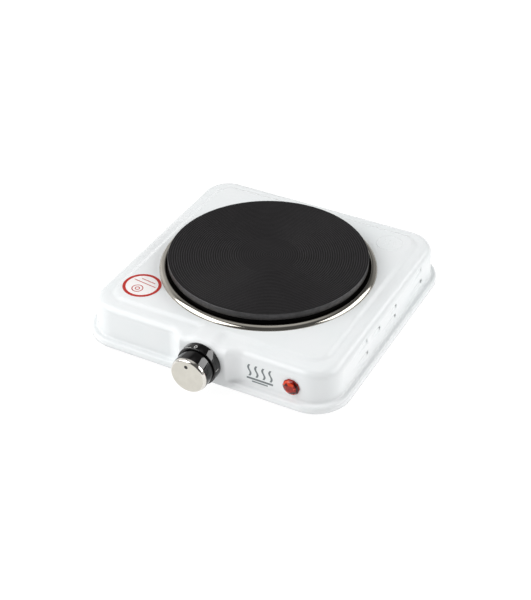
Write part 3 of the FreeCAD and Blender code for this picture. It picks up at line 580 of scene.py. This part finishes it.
# cast iron plate: turned grooves all over, a plainer disc at the centre
def platePiece(p):
    # z(r) = top - depth (1 - cos(2 pi (r - r0) / step)) / 2 across the grooves
    radius = (plateHigh[0] - plateLow[0]) / 2
    top = plateHigh[2]
    rimBottom = top - p["rim"]
    lower = np.array([[0.0, plateLow[2]], [p["skirt"], plateLow[2]], [p["skirt"], p["seat"]],
                      [p["neck"], p["seat"]], [p["neck"], rimBottom]])
    under = arc(radius - p["edge"], rimBottom + p["edge"], p["edge"], p["edge"], 270, 360, 5)
    upper = arc(radius - p["edge"], top - p["edge"], p["edge"], p["edge"], 0, 90, 6)
    outer = radius - p["edge"] - p["rimLand"]
    turns = int((outer - p["centre"]) / p["grooveStep"])
    r = np.linspace(p["centre"] + turns * p["grooveStep"], p["centre"], turns * 8 + 1)
    wave = (1 - np.cos(2 * math.pi * (r - p["centre"]) / p["grooveStep"])) / 2
    grooves = np.stack([r, top - p["grooveDepth"] * wave], -1)
    inner = np.linspace(p["centre"] - p["centreWall"], p["pole"], 78)
    fine = (1 - np.cos(2 * math.pi * inner / p["centreStep"])) / 2
    disc = np.stack([inner, top - p["centreDrop"] - p["centreDepth"] * fine], -1)
    pole = np.array([[0.0, top - p["centreDrop"]]])
    profile = np.concatenate([lower, under, upper, grooves, disc, pole])
    bands = np.zeros(len(profile) - 1, int)
    # below the rim: near-black painted shade; the rim: turned finish with a painted highlight
    bands[:len(lower)] = 2
    bands[len(lower):len(lower) + len(under) + len(upper) - 1] = 1
    return profile, bands


profile, bands = platePiece(plate)
turnedPlate = addTurned("turned_plate", profile, plate["segments"], upFrom(0, 0), "base",
                        ["iron", "rim", "ironPaintedShade"], sharp=60.0, bands=bands, loop=False)
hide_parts("heating_plate")
print("plate made")


# spill ring: a rolled bead round the plate with a flat seat inside
ring = {
    "crest": 95.8, "well": 93.6, "hole": 86.2, "inner": 2.2, "lip": 0.5, "seatWidth": 3.0,
    "power": 1.65, "paintedShadeSpans": 4, "sheet": 0.5, "segments": 256,
}


def thickened(path, thickness):
    # the path and its copy moved sideways by thickness, joined into one closed outline
    run = np.gradient(path, axis=0)
    side = np.stack([run[:, 1], -run[:, 0]], -1)
    side /= np.linalg.norm(side, axis=1, keepdims=True)
    return np.concatenate([path, (path - side * thickness)[::-1]])


def ringProfile(p):
    # a rolled sheet from the bead's foot over its crest and down to the seat
    foot = (ringHigh[0] - ringLow[0]) / 2
    floor, crest = ringLow[2], ringHigh[2]
    # outside: |x / a|^n + |z / b|^n = 1, with a power n below 2 for flatter sides than an ellipse
    t = np.radians(np.linspace(1, 90, 26))
    outside = np.stack([p["crest"] + (foot - p["crest"]) * np.cos(t) ** (2 / p["power"]),
                        floor + (crest - floor) * np.sin(t) ** (2 / p["power"])], -1)
    inside = arc(p["crest"], crest - p["inner"], p["crest"] - p["well"], p["inner"], 90, 180, 14)[1:]
    corner = arc(p["well"] - p["lip"], floor + p["sheet"] + p["lip"], p["lip"], p["lip"], 360, 270, 6)
    seat = np.array([[p["well"] - p["seatWidth"], floor + p["sheet"]], [p["hole"], floor + p["sheet"]]])
    outline = thickened(np.concatenate([outside, inside, corner, seat]), p["sheet"])
    bands = np.zeros(len(outline), int)  # painted shade: the last spans down the inside, and the seat, are darkened
    bands[len(outside) + len(inside) - p["paintedShadeSpans"]:len(outline) // 2] = 1
    return outline, bands


profile, bands = ringProfile(ring)
bead = addTurned("spill_ring_bead", profile, ring["segments"], upFrom(0, 0), "base",
                 ["stainless", "wellSteelPaintedShade"], sharp=45.0, bands=bands)
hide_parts("spill_ring")
print("ring made")


# knob: a fixed dial ring, a turning barrel and its plated cap
knob = {
    "dialRadius": 19.0, "dialDepth": 9.0, "dialWall": 2.0, "dialFace": 1.5, "dialHole": 8.0,
    "barrelRadius": 17.3, "barrelBack": 9.7, "barrelFront": 21.2, "barrelWall": 1.5, "web": 1.6,
    "hub": 6.5, "hubBack": 7.0, "bore": 3.02, "gap": 0.02, "capRadius": 17.2, "capBack": 16.9,
    "bevelRun": 3.65, "bevelAt": (0, 0.55, 1), "bevelTilt": (10, 24, 62), "front": 24.6, "segments": 128,
}
bossFront = -housing["bossFront"]
onKnob = forwardFrom(knobAxis[0], bossFront, knobAxis[2])


def dialProfile(k):
    # a cup open to the back, with a hole for the spindle
    inner = k["dialRadius"] - k["dialWall"]
    back = k["dialDepth"] - k["dialFace"]
    corners = [[k["dialHole"], back], [inner, back], [inner, k["gap"]], [k["dialRadius"], k["gap"]],
               [k["dialRadius"], k["dialDepth"]], [k["dialHole"], k["dialDepth"]]]
    return softCorners(corners, [0.2, 0.4, 0.1, 0.15, 0.7, 0.3])


def barrelProfile(k):
    # a tube with a hub inside, closed in front by a web
    inner = k["barrelRadius"] - k["barrelWall"]
    web = k["barrelFront"] - k["web"]
    corners = [[k["bore"], k["hubBack"]], [k["hub"], k["hubBack"]], [k["hub"], web], [inner, web],
               [inner, k["barrelBack"]], [k["barrelRadius"], k["barrelBack"]],
               [k["barrelRadius"], k["barrelFront"]], [k["bore"], k["barrelFront"]]]
    return softCorners(corners, [0.1, 0.3, 0.4, 0.4, 0.2, 0.35, 0.3, 0.1])


def capBevel(k):
    # side of the cap: its tilt grows along the run, so r' = -sin(tilt) and z' = cos(tilt)
    share = np.linspace(0, 1, 21)
    tilt = np.radians(np.interp((share[1:] + share[:-1]) / 2, k["bevelAt"], k["bevelTilt"]))
    step = k["bevelRun"] / len(tilt)
    r = k["capRadius"] - np.concatenate([[0], np.cumsum(np.sin(tilt) * step)])
    return np.stack([r, k["barrelFront"] + np.concatenate([[0], np.cumsum(np.cos(tilt) * step)])], -1)


def faceLevel(k, r):
    # face domed as rise (1 - (r / R)^2)
    edge = capBevel(k)[-1]
    return k["front"] - (k["front"] - edge[1]) * (r / edge[0]) ** 2


def capProfile(k):
    # back, then a curved bevel that ends in a crease at the edge of the face
    back = k["barrelFront"] + k["gap"]
    start = np.array([[0.0, back], [k["capBack"], back]])
    bevel = capBevel(k)[1:]
    r = np.linspace(bevel[-1, 0], 0, 18)[1:]
    face = np.stack([r, faceLevel(k, r)], -1)
    profile = np.concatenate([start, bevel, face])
    bands = np.zeros(len(profile) - 1, int)
    bands[-len(face):] = 1
    return profile, bands


dial = addTurned("dial_collar", dialProfile(knob), knob["segments"], onKnob, "base", ["black"])
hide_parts("dial_ring")
barrel = addTurned("knob_grip", barrelProfile(knob), knob["segments"], onKnob, "knob", ["black"])
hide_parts("knob_barrel")
profile, bands = capProfile(knob)
cap = addTurned("knob_face", profile, knob["segments"], onKnob, "knob", ["chrome", "satin"],
                sharp=20.0, bands=bands, loop=False)
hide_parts("knob_cap")

pointerDot = {
    "radius": 1.75, "out": 9.9, "turn": -5.0, "sunk": 1.0, "lip": 0.1, "dish": 0.03,
    "edge": 0.2, "edgeRise": 0.15, "dishEdge": 0.35, "segments": 32,
}


def dotPiece(d):
    # a small painted stud let into the face, at the dial angle of the zero mark
    turn = math.radians(d["turn"])
    x = knobAxis[0] + d["out"] * math.sin(turn)
    z = knobAxis[2] + d["out"] * math.cos(turn)
    level = faceLevel(knob, d["out"])
    lip, dish = level + d["lip"], level + d["dish"]
    back = [[0.0, level - d["sunk"]], [d["radius"], level - d["sunk"]]]
    edge = arc(d["radius"] - d["edge"], lip - d["edgeRise"], d["edge"], d["edgeRise"], 0, 90, 5)
    hollow = arc(0, lip, d["radius"] - d["dishEdge"], lip - dish, 0, -90, 7)
    addTurned("pointer_dot", np.concatenate([back, edge, hollow]), d["segments"],
              forwardFrom(x, bossFront, z), "knob", ["blackFill"], loop=False)


dotPiece(pointerDot)

# numbers printed round the dial, and a bar beside the zero
dialMarks = {
    "numbers": "012345", "height": 4.2, "middle": 5.9, "first": -5.0, "second": 87.0, "step": 47.0,
    "barLength": 6.6, "barWidth": 0.5, "barTurn": -25.0, "barAt": 7.9, "proud": 0.05,
}


def textPoints(word, height):
    # flat outline of a generic number, filled, centred and scaled to its height in mm
    curve = bpy.data.curves.new("number", "FONT")
    curve.body = word
    curve.align_x = "CENTER"
    curve.resolution_u = 3
    holder = inScene("number", curve)
    bpy.context.view_layer.update()
    mesh = bpy.data.meshes.new_from_object(holder.evaluated_get(bpy.context.evaluated_depsgraph_get()))
    points = np.array([vertex.co for vertex in mesh.vertices], float)
    faces = [list(face.vertices) for face in mesh.polygons]
    bpy.data.objects.remove(holder)
    bpy.data.curves.remove(curve)
    bpy.data.meshes.remove(mesh)
    low, high = points.min(0), points.max(0)
    points = (points - (low + high) / 2) * height / (high[1] - low[1])
    return points[:, :2], faces


def inkPiece(name, flatPoints, faces, wrap, body, material, thickness):
    # a print: the flat shape laid on a surface by wrap(points, lift), as a thin film
    mesh = bpy.data.meshes.new(name)
    mesh.from_pydata(toFrame(wrap(flatPoints, thickness)).tolist(), [], faces)
    mesh.materials.append(finish[material])
    mesh.update()
    piece = inScene(name, mesh)
    film = piece.modifiers.new("film", "SOLIDIFY")
    film.thickness = thickness * mm
    film.offset = -1.0
    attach(piece, body)


def aroundDial(turn, depth, radius):
    # bends flat marks round the dial: x goes round it, y runs back along its axis
    def wrap(points, lift):
        angle = math.radians(turn) + points[:, 0] / radius
        out = radius + lift
        x = knobAxis[0] + out * np.sin(angle)
        z = knobAxis[2] + out * np.cos(angle)
        return np.stack([x, bossFront - depth + points[:, 1], z], -1)
    return wrap


turns = [dialMarks["first"]] + [dialMarks["second"] + dialMarks["step"] * i for i in range(5)]
for number, turn in zip(dialMarks["numbers"], turns):
    flatPoints, flatFaces = textPoints(number, dialMarks["height"])
    inkPiece("dial_number_" + number, flatPoints, flatFaces,
             aroundDial(turn, dialMarks["middle"], knob["dialRadius"]), "base", "whiteInk",
             dialMarks["proud"])


def barGrid(length, width, columns=12):
    # a straight bar of the given length and width as a strip of quads, so that it can bend
    x, y = np.meshgrid(np.linspace(-length / 2, length / 2, columns), [-width / 2, width / 2], indexing="ij")
    points = np.stack([x.ravel(), y.ravel()], -1)
    return points, gridFaces(columns, 2, False, False).tolist()


flatPoints, flatFaces = barGrid(dialMarks["barLength"], dialMarks["barWidth"])
inkPiece("dial_zero_bar", flatPoints, flatFaces,
         aroundDial(dialMarks["barTurn"], dialMarks["barAt"], knob["dialRadius"]), "base", "whiteInk",
         dialMarks["proud"])
print("knob made")


# pilot lens: a cut jewel, rings of facets turned half a step against each other
lens = {
    "facets": 10, "back": 0.02, "radius": 8.0, "base": 1.2, "girdle": 7.6, "girdleZ": 1.45,
    "crown": 5.9, "crownZ": 3.0, "table": 3.6, "tableZ": 4.1, "tipZ": 4.22,
}


def lensPiece(p):
    # ring k has its corners at (i + shift) / n of a turn, so neighbouring rings make triangles
    n = p["facets"]
    rings = [(p["radius"], p["back"], 0.0), (p["radius"], p["base"], 0.0), (p["girdle"], p["girdleZ"], 0.0),
             (p["crown"], p["crownZ"], 0.5), (p["table"], p["tableZ"], 1.0)]
    points = []
    for radius, z, shift in rings:
        t = (np.arange(n) + shift) * 2 * math.pi / n
        points.append(np.stack([radius * np.cos(t), radius * np.sin(t), np.full(n, z)], -1))
    points.append(np.array([[0, 0, p["back"]], [0, 0, p["tipZ"]]]))
    i = np.arange(n)
    j = (i + 1) % n
    wall, girdle, crown, table = n, 2 * n, 3 * n, 4 * n
    backPole, tip = np.full(n, 5 * n), np.full(n, 5 * n + 1)
    facets = [(i, j, j + wall, i + wall), (i + wall, j + wall, j + girdle, i + girdle),
              (i + girdle, j + girdle, i + crown), (i + crown, j + girdle, j + crown),
              (i + crown, j + crown, i + table), (i + table, j + crown, j + table),
              (i + table, j + table, tip), (j, i, backPole)]
    faces = [face for corners in facets for face in np.stack(corners, -1).tolist()]
    x = (lensLow[0] + lensHigh[0]) / 2
    z = (lensLow[2] + lensHigh[2]) / 2
    place = forwardFrom(x, -housing["wallHalf"] + housing["draft"] / 2, z)
    # facets round the crown take the middle red, the painted-shade red or the painted-highlight red as if by
    # chance, the others the middle one
    paintedFacetLight = np.zeros(len(faces), int)
    cut = np.arange(2 * n, 6 * n)
    paintedFacetLight[cut] = cut * 7 // 3 % 3
    return addPiece("pilot_jewel", place(np.concatenate(points)), np.array(faces, object), "base",
                    ["lens", "lensPaintedShade", "lensPaintedHighlight"], sharp=8.0, materialIndex=paintedFacetLight)


jewel = lensPiece(lens)
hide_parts("indicator_lens")
print("lens made")


# rubber feet, each with a screw well
foot = {
    "top": 10.0, "toe": 8.6, "height": 9.0, "well": 4.5, "wellDepth": 3.5, "bore": 2.1,
    "waist": 9.5, "waistDown": 3.2, "groove": 9.1, "grooveDown": 2.4, "rimDown": 1.8, "segments": 64,
}


def footProfile(f, low):
    # a tapered pad with a groove under its rim, a bore and a well for the screw's head
    high = low + f["height"]
    corners = [[f["bore"], high], [f["bore"], low + f["wellDepth"]], [f["well"], low + f["wellDepth"]],
               [f["well"], low], [f["toe"], low], [f["waist"], high - f["waistDown"]],
               [f["groove"], high - f["grooveDown"]], [f["top"], high - f["rimDown"]], [f["top"], high]]
    return softCorners(corners, [0.1, 0.1, 0.3, 0.4, 0.8, 0.3, 0.3, 0.3, 0.3])


footCorners = ("front_left", "front_right", "rear_left", "rear_right")
for corner in footCorners:
    low, high = (fromFrame(end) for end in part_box("foot_" + corner))
    middle = (low + high) / 2
    pad = addTurned("pad_" + corner, footProfile(foot, low[2]), foot["segments"],
                    upFrom(middle[0], middle[1]), "base", ["rubber"])
    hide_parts("foot_" + corner)

# cord grommet: two flanges that grip the rear wall, and a nose
grommet = {
    "bore": 3.6, "flange": 8.5, "neck": 6.4, "inner": 2.5, "wall": 0.8, "collar": 1.6, "nose": 6.3,
    "length": 4.8, "segments": 72,
}


def grommetPiece(g):
    # w runs to the rear from the wall's outer face
    low, high = (fromFrame(end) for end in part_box("cord_grommet"))
    inside, behind = -g["wall"] - g["inner"], -g["wall"]
    corners = [[g["bore"], inside], [g["flange"], inside], [g["flange"], behind], [g["neck"], behind],
               [g["neck"], 0.0], [g["flange"], 0.0], [g["flange"], g["collar"]],
               [g["nose"], g["length"]], [g["bore"], g["length"]]]
    outline = softCorners(corners, [0.2, 0.5, 0.3, 0.1, 0.1, 0.3, 0.7, 0.6, 0.4])
    place = backwardFrom((low[0] + high[0]) / 2, housing["wallHalf"], (low[2] + high[2]) / 2)
    return addTurned("inlet_grommet", outline, g["segments"], place, "base", ["rubber"])


sleeve = grommetPiece(grommet)
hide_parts("cord_grommet")
print("feet and grommet made")


# sticker: a film with a red ring and a sign in print
sticker = {
    "ringOuter": 17.7, "ringInner": 14.9, "proud": 0.06, "segments": 96,
    "glue": 0.01, "edge": 0.1, "edgeRise": 0.07, "flat": 0.6,
}
stickerLow, stickerHigh = (fromFrame(end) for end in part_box("notice_sticker"))
stickerX, stickerY = ((stickerLow + stickerHigh) / 2)[:2]


def circlePoints(segments):
    # one turn of (cos t, sin t)
    t = np.arange(segments) * 2 * math.pi / segments
    return np.stack([np.cos(t), np.sin(t)], -1)


def annulus(inner, outer, segments):
    # a flat ring between two circles
    circle = circlePoints(segments)
    points = np.stack([circle * inner, circle * outer], 1).reshape(-1, 2)
    return points, gridFaces(segments, 2, True, False)


def stickerOutline(s):
    # a thin disc with a rounded edge
    radius = (stickerHigh[0] - stickerLow[0]) / 2
    under, top = stickerLow[2] + s["glue"], stickerHigh[2]
    edge = arc(radius - s["edge"], top - s["edgeRise"], s["edge"], s["edgeRise"], -60, 90, 6)
    return np.concatenate([[[0.0, under], [radius - s["edge"], under]], edge,
                           [[radius * s["flat"], top], [0.0, top]]])


def onSticker(points, lift):
    # flat points laid level on the sticker: (x, y, top + lift)
    return np.stack([stickerX + points[:, 0], stickerY + points[:, 1],
                     np.full(len(points), stickerHigh[2] + lift)], -1)


label = addTurned("sticker_film", stickerOutline(sticker), sticker["segments"],
                  upFrom(stickerX, stickerY), "base", ["vinyl"], loop=False)
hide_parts("notice_sticker")
flatPoints, flatFaces = annulus(sticker["ringInner"], sticker["ringOuter"], sticker["segments"])
inkPiece("sticker_ring", flatPoints, flatFaces[:, ::-1].tolist(), onSticker, "base", "redInk",
         sticker["proud"])


def barShape(length, width, tilt, x, y, columns=8):
    # a straight bar with its middle at (x, y), turned anticlockwise by tilt degrees
    points, faces = barGrid(length, width, columns)
    a = math.radians(tilt)
    turn = np.array([[math.cos(a), math.sin(a)], [-math.sin(a), math.cos(a)]])
    return points @ turn + [x, y], faces


def wavyLine(length, sway, x, y, count=25):
    # an upright line that sways as x + sway sin(2 pi t) on its way up
    t = np.linspace(0, 1, count)
    return np.stack([x + sway * np.sin(2 * math.pi * t), y + (t - 0.5) * length], -1)


def wavyBar(length, width, sway, x, y):
    # a wavy line given the same width to the left and the right
    middle = wavyLine(length, sway, x, y)
    side = np.array([[-0.5, 0], [0.5, 0]]) * width
    return (middle[:, None] + side).reshape(-1, 2), gridFaces(len(middle), 2, False, False).tolist()


def joined(shapes):
    # several flat shapes as one list of points and one of faces
    points = np.concatenate([np.asarray(shape[0]) for shape in shapes])
    starts = np.cumsum([0] + [len(shape[0]) for shape in shapes])
    faces = [[index + start for index in face] for shape, start in zip(shapes, starts) for face in shape[1]]
    return points, faces


def facingUp(points, faces):
    # faces whose corners all run anticlockwise, by the sign of their doubled area
    first = np.array([face[:3] for face in faces])
    a, b, c = (np.asarray(points)[first[:, i]] for i in range(3))
    area = (b[:, 0] - a[:, 0]) * (c[:, 1] - a[:, 1]) - (b[:, 1] - a[:, 1]) * (c[:, 0] - a[:, 0])
    return [face if sense > 0 else face[::-1] for face, sense in zip(faces, area)]


# sign on the sticker: a plate seen from above under two slanting bars
stickerSign = {
    "x": -1.4, "y": -5.6, "radius": 5.4, "hub": 2.4, "line": 0.85, "segments": 48, "tilt": -7.0,
    "bars": ((2.0, 8.4, 15.0), (0.8, 4.0, 24.0)),  # x, y and length of each
}
shapes = []
for radius in (stickerSign["radius"], stickerSign["hub"]):
    circle = annulus(radius - stickerSign["line"], radius, stickerSign["segments"])
    shapes.append((circle[0] + [stickerSign["x"], stickerSign["y"]], circle[1].tolist()))
for x, y, length in stickerSign["bars"]:
    shapes.append(barShape(length, stickerSign["line"], stickerSign["tilt"], x, y))
flatPoints, flatFaces = joined(shapes)
inkPiece("sticker_sign", flatPoints, facingUp(flatPoints, flatFaces), onSticker, "base", "redInk",
         sticker["proud"])
print("sticker made")

# printed mark on the front wall: rising waves over a wide and a narrow bar
frontMark = {
    "x": 55.8, "z": 19.5, "film": 0.06,
    "waves": 4, "waveHeight": 12.0, "waveWidth": 1.9, "waveSway": 1.2, "wavePitch": 6.8, "waveUp": 2.8,
    "bars": ((25.5, 2.0, -5.6), (15.3, 1.4, -8.4)),  # length, width and height of each
}


def onFrontWall(points, lift):
    # the wall leans back by the draft between the flange and the shoulder
    z = frontMark["z"] + points[:, 1]
    low = housing["flangeTop"] + housing["footRound"]
    high = housing["borderTop"] - housing["shoulder"]
    lean = housing["draft"] * (z - low) / (high - low)
    return np.stack([frontMark["x"] + points[:, 0], -housing["wallHalf"] + lean - lift, z], -1)


shapes = [wavyBar(frontMark["waveHeight"], frontMark["waveWidth"], frontMark["waveSway"],
                  (i - (frontMark["waves"] - 1) / 2) * frontMark["wavePitch"], frontMark["waveUp"])
          for i in range(frontMark["waves"])]
shapes += [barShape(length, width, 0, 0, y) for length, width, y in frontMark["bars"]]
flatPoints, flatFaces = joined(shapes)
inkPiece("front_mark", flatPoints, facingUp(flatPoints, flatFaces), onFrontWall, "base", "greyInk",
         frontMark["film"])

# sign pressed up in the panel: a ring and three wavy bars
emboss = {
    "x": 84.5, "y": 85.5, "radius": 12.0, "segments": 96, "width": 1.0, "height": 0.35, "sunk": 0.02,
    "barLength": 10.0, "barPitch": 4.6, "barSway": 0.8, "taper": 3,
}


def raisedBead(name, path, closedPath):
    # a low bead along a flat path: its height goes as cos^2 across its width, and an open one
    # narrows to nothing over its first and last few samples
    run = np.roll(path, -1, 0) - np.roll(path, 1, 0) if closedPath else np.gradient(path, axis=0)
    side = np.stack([-run[:, 1], run[:, 0]], -1)
    side /= np.linalg.norm(side, axis=1, keepdims=True)
    across = np.linspace(-1, 1, 9)
    rise = np.cos(across * math.pi / 2) ** 2
    fromEnd = np.minimum(np.arange(len(path)), np.arange(len(path))[::-1])
    ends = np.ones(len(path)) if closedPath else np.minimum(1, fromEnd / emboss["taper"])
    flat = path[:, None] + side[:, None] * across[None, :, None] * emboss["width"] * ends[:, None, None]
    z = housing["panelTop"] - emboss["sunk"] + emboss["height"] * rise[None] * ends[:, None]
    points = np.concatenate([flat, z[..., None]], -1)
    faces = gridFaces(len(path), len(across), closedPath, False)
    addPiece(name, points.reshape(-1, 3), faces, "base", ["enamel"])


circle = circlePoints(emboss["segments"]) * emboss["radius"] + [emboss["x"], emboss["y"]]
raisedBead("embossed_ring", circle, True)
for number in (1, 2, 3):
    x = emboss["x"] + (number - 2) * emboss["barPitch"]
    bar = wavyLine(emboss["barLength"], emboss["barSway"], x, emboss["y"])
    raisedBead("embossed_bar_%d" % number, bar, False)
print("marks made")


# finishes of the pieces that keep their own shape
carried = {
    "zinc": ["bottom_cover", "plate_under_cover", "heat_shield", "clamp_bridge", "thermostat_frame"],
    "steel": ["foot_screws", "plate_terminal_pins", "centre_stud", "stud_spacer", "clamp_washer", "clamp_nut",
              "knob_spring_clip", "thermostat_spindle", "spindle_circlip", "cam_lever", "lever_pivot_pin",
              "thermostat_screws", "stack_rivet", "bimetal_strip", "indicator_clip", "terminal_screws",
              "earth_stud", "earth_ring_terminal", "earth_nut", "contact_rivets"],
    "wire": ["heating_coils"],
    "ceramic": ["ceramic_filler", "plate_terminal_block", "ceramic_spacers", "thermostat_cam",
                "ballast_resistor"],
    "brass": ["spindle_bush", "fixed_contact_blade", "moving_contact_blade"],
    "darkNylon": ["lamp_holder"], "nylon": ["mains_terminal_block"], "glass": ["neon_bulb"],
    "brownLead": ["live_lead"], "redLead": ["switched_lead", "lamp_live_lead"],
    "blueLead": ["neutral_lead", "lamp_neutral_lead"], "earthLead": ["earth_lead"],
}
carried["zinc"] += ["foot_bracket_" + corner for corner in footCorners]
for name, nodes in carried.items():
    for node in nodes:
        slots = frame["nodes"][node].data.materials
        slots.clear()
        slots.append(finish[name])
print("finishes given")


# floor, lamps and camera
floorHalf = 30.0  # metres
floor = inScene("studio_floor", bpy.data.meshes.new("studio_floor"))
floorCorners = [(x * floorHalf, y * floorHalf, 0) for x, y in ((-1, -1), (1, -1), (1, 1), (-1, 1))]
floor.data.from_pydata(floorCorners, [], [(0, 1, 2, 3)])
floor.data.materials.append(finish["board"])

studio = {
    "air": 0.12, "aimHeight": 40.0,
    # pale walls of the room: azimuth, elevation, inner and outer angle, radiance added
    "walls": [(-88, 4, 10, 42, 0.7), (95, 0, 10, 38, 0.35), (207, 76, 6, 31, 0.6), (172, 8, 8, 32, 0.25),
              (-125, 25, 8, 30, 0.5)],
    # azimuth, elevation, distance, width and height in metres, radiance, and the only pieces lit, if named
    "softboxes": {
        "key_front_left": (-50, 41, 3.0, 2.9, 2.4, 3.85, ()),
        "key_rear_right": (119, 32, 3.0, 3.2, 1.7, 3.6, ()),
        "knob_glint": (119, 32, 2.8, 3.2, 1.6, 2.2, ("dial_collar", "knob_grip")),
    },
}
view = {
    "azimuth": 27.65, "elevation": 36.22, "distance": 1219.7, "target": (25.3, -53.9, 45.0),
    "lens": 82.45, "sensor": 36.0, "nearest": 0.05,
}


def direction(azimuth, elevation):
    # azimuth 0 is the front (-y), 90 the right (+x)
    a, e = math.radians(azimuth), math.radians(elevation)
    return np.array([math.sin(a) * math.cos(e), -math.cos(a) * math.cos(e), math.sin(e)])


def aimAt(holder, place, target):
    # a lamp or camera looks along its own -z, with y up
    holder.location = place
    holder.rotation_euler = (Vector(target) - Vector(place)).to_track_quat("-Z", "Y").to_euler()


def studioAir(s):
    # radiance(d) = air + sum of amount * smoothstep(cos outer, cos inner, d . axis)
    world = bpy.data.worlds.new("studio_air")
    world.use_nodes = True
    tree = world.node_tree
    heading = addNode(tree, "ShaderNodeTexCoord").outputs["Generated"]
    total = None
    for azimuth, elevation, inner, outer, amount in s["walls"]:
        dot = addNode(tree, "ShaderNodeVectorMath", {"operation": "DOT_PRODUCT"})
        dot.inputs[1].default_value = direction(azimuth, elevation)
        tree.links.new(heading, dot.inputs[0])
        lobe = addNode(tree, "ShaderNodeMapRange", {
            "interpolation_type": "SMOOTHSTEP", "From Min": math.cos(math.radians(outer)),
            "From Max": math.cos(math.radians(inner)), "To Max": amount}, {"Value": dot.outputs["Value"]})
        both = addNode(tree, "ShaderNodeMath", {"operation": "ADD"})
        both.inputs[0].default_value = s["air"]  # the first wall is added to the air, the next to the sum
        if total:
            tree.links.new(total, both.inputs[0])
        tree.links.new(lobe.outputs["Result"], both.inputs[1])
        total = both.outputs["Value"]
    tree.links.new(total, tree.nodes["Background"].inputs["Strength"])
    tree.nodes["Background"].inputs["Color"].default_value = linear("#FFFEFD")
    bpy.context.scene.world = world


def addSoftbox(name, azimuth, elevation, distance, width, height, radiance, only):
    # a panel of even radiance L has power pi * L * area
    lamp = bpy.data.lights.new(name, "AREA")
    lamp.shape = "RECTANGLE"
    lamp.size = width
    lamp.size_y = height
    lamp.energy = math.pi * radiance * width * height
    holder = inScene(name, lamp)
    middle = toFrame([0, 0, studio["aimHeight"]])
    aimAt(holder, middle + direction(azimuth, elevation) * distance, middle)
    holder.visible_camera = False
    if only:
        lit = bpy.data.collections.new(name + "_pieces")
        for piece in only:
            lit.objects.link(bpy.data.objects[piece])
        holder.light_linking.receiver_collection = lit


studioAir(studio)
for name, settings in studio["softboxes"].items():
    addSoftbox(name, *settings)

camera = inScene("camera", bpy.data.cameras.new("camera"))
camera.data.lens = view["lens"]
camera.data.sensor_width = view["sensor"]
camera.data.clip_start = view["nearest"]
target = toFrame(view["target"])
aimAt(camera, target + direction(view["azimuth"], view["elevation"]) * view["distance"] * mm, target)
bpy.context.scene.camera = camera
bpy.context.scene.view_settings.view_transform = "Standard"
print("studio set")
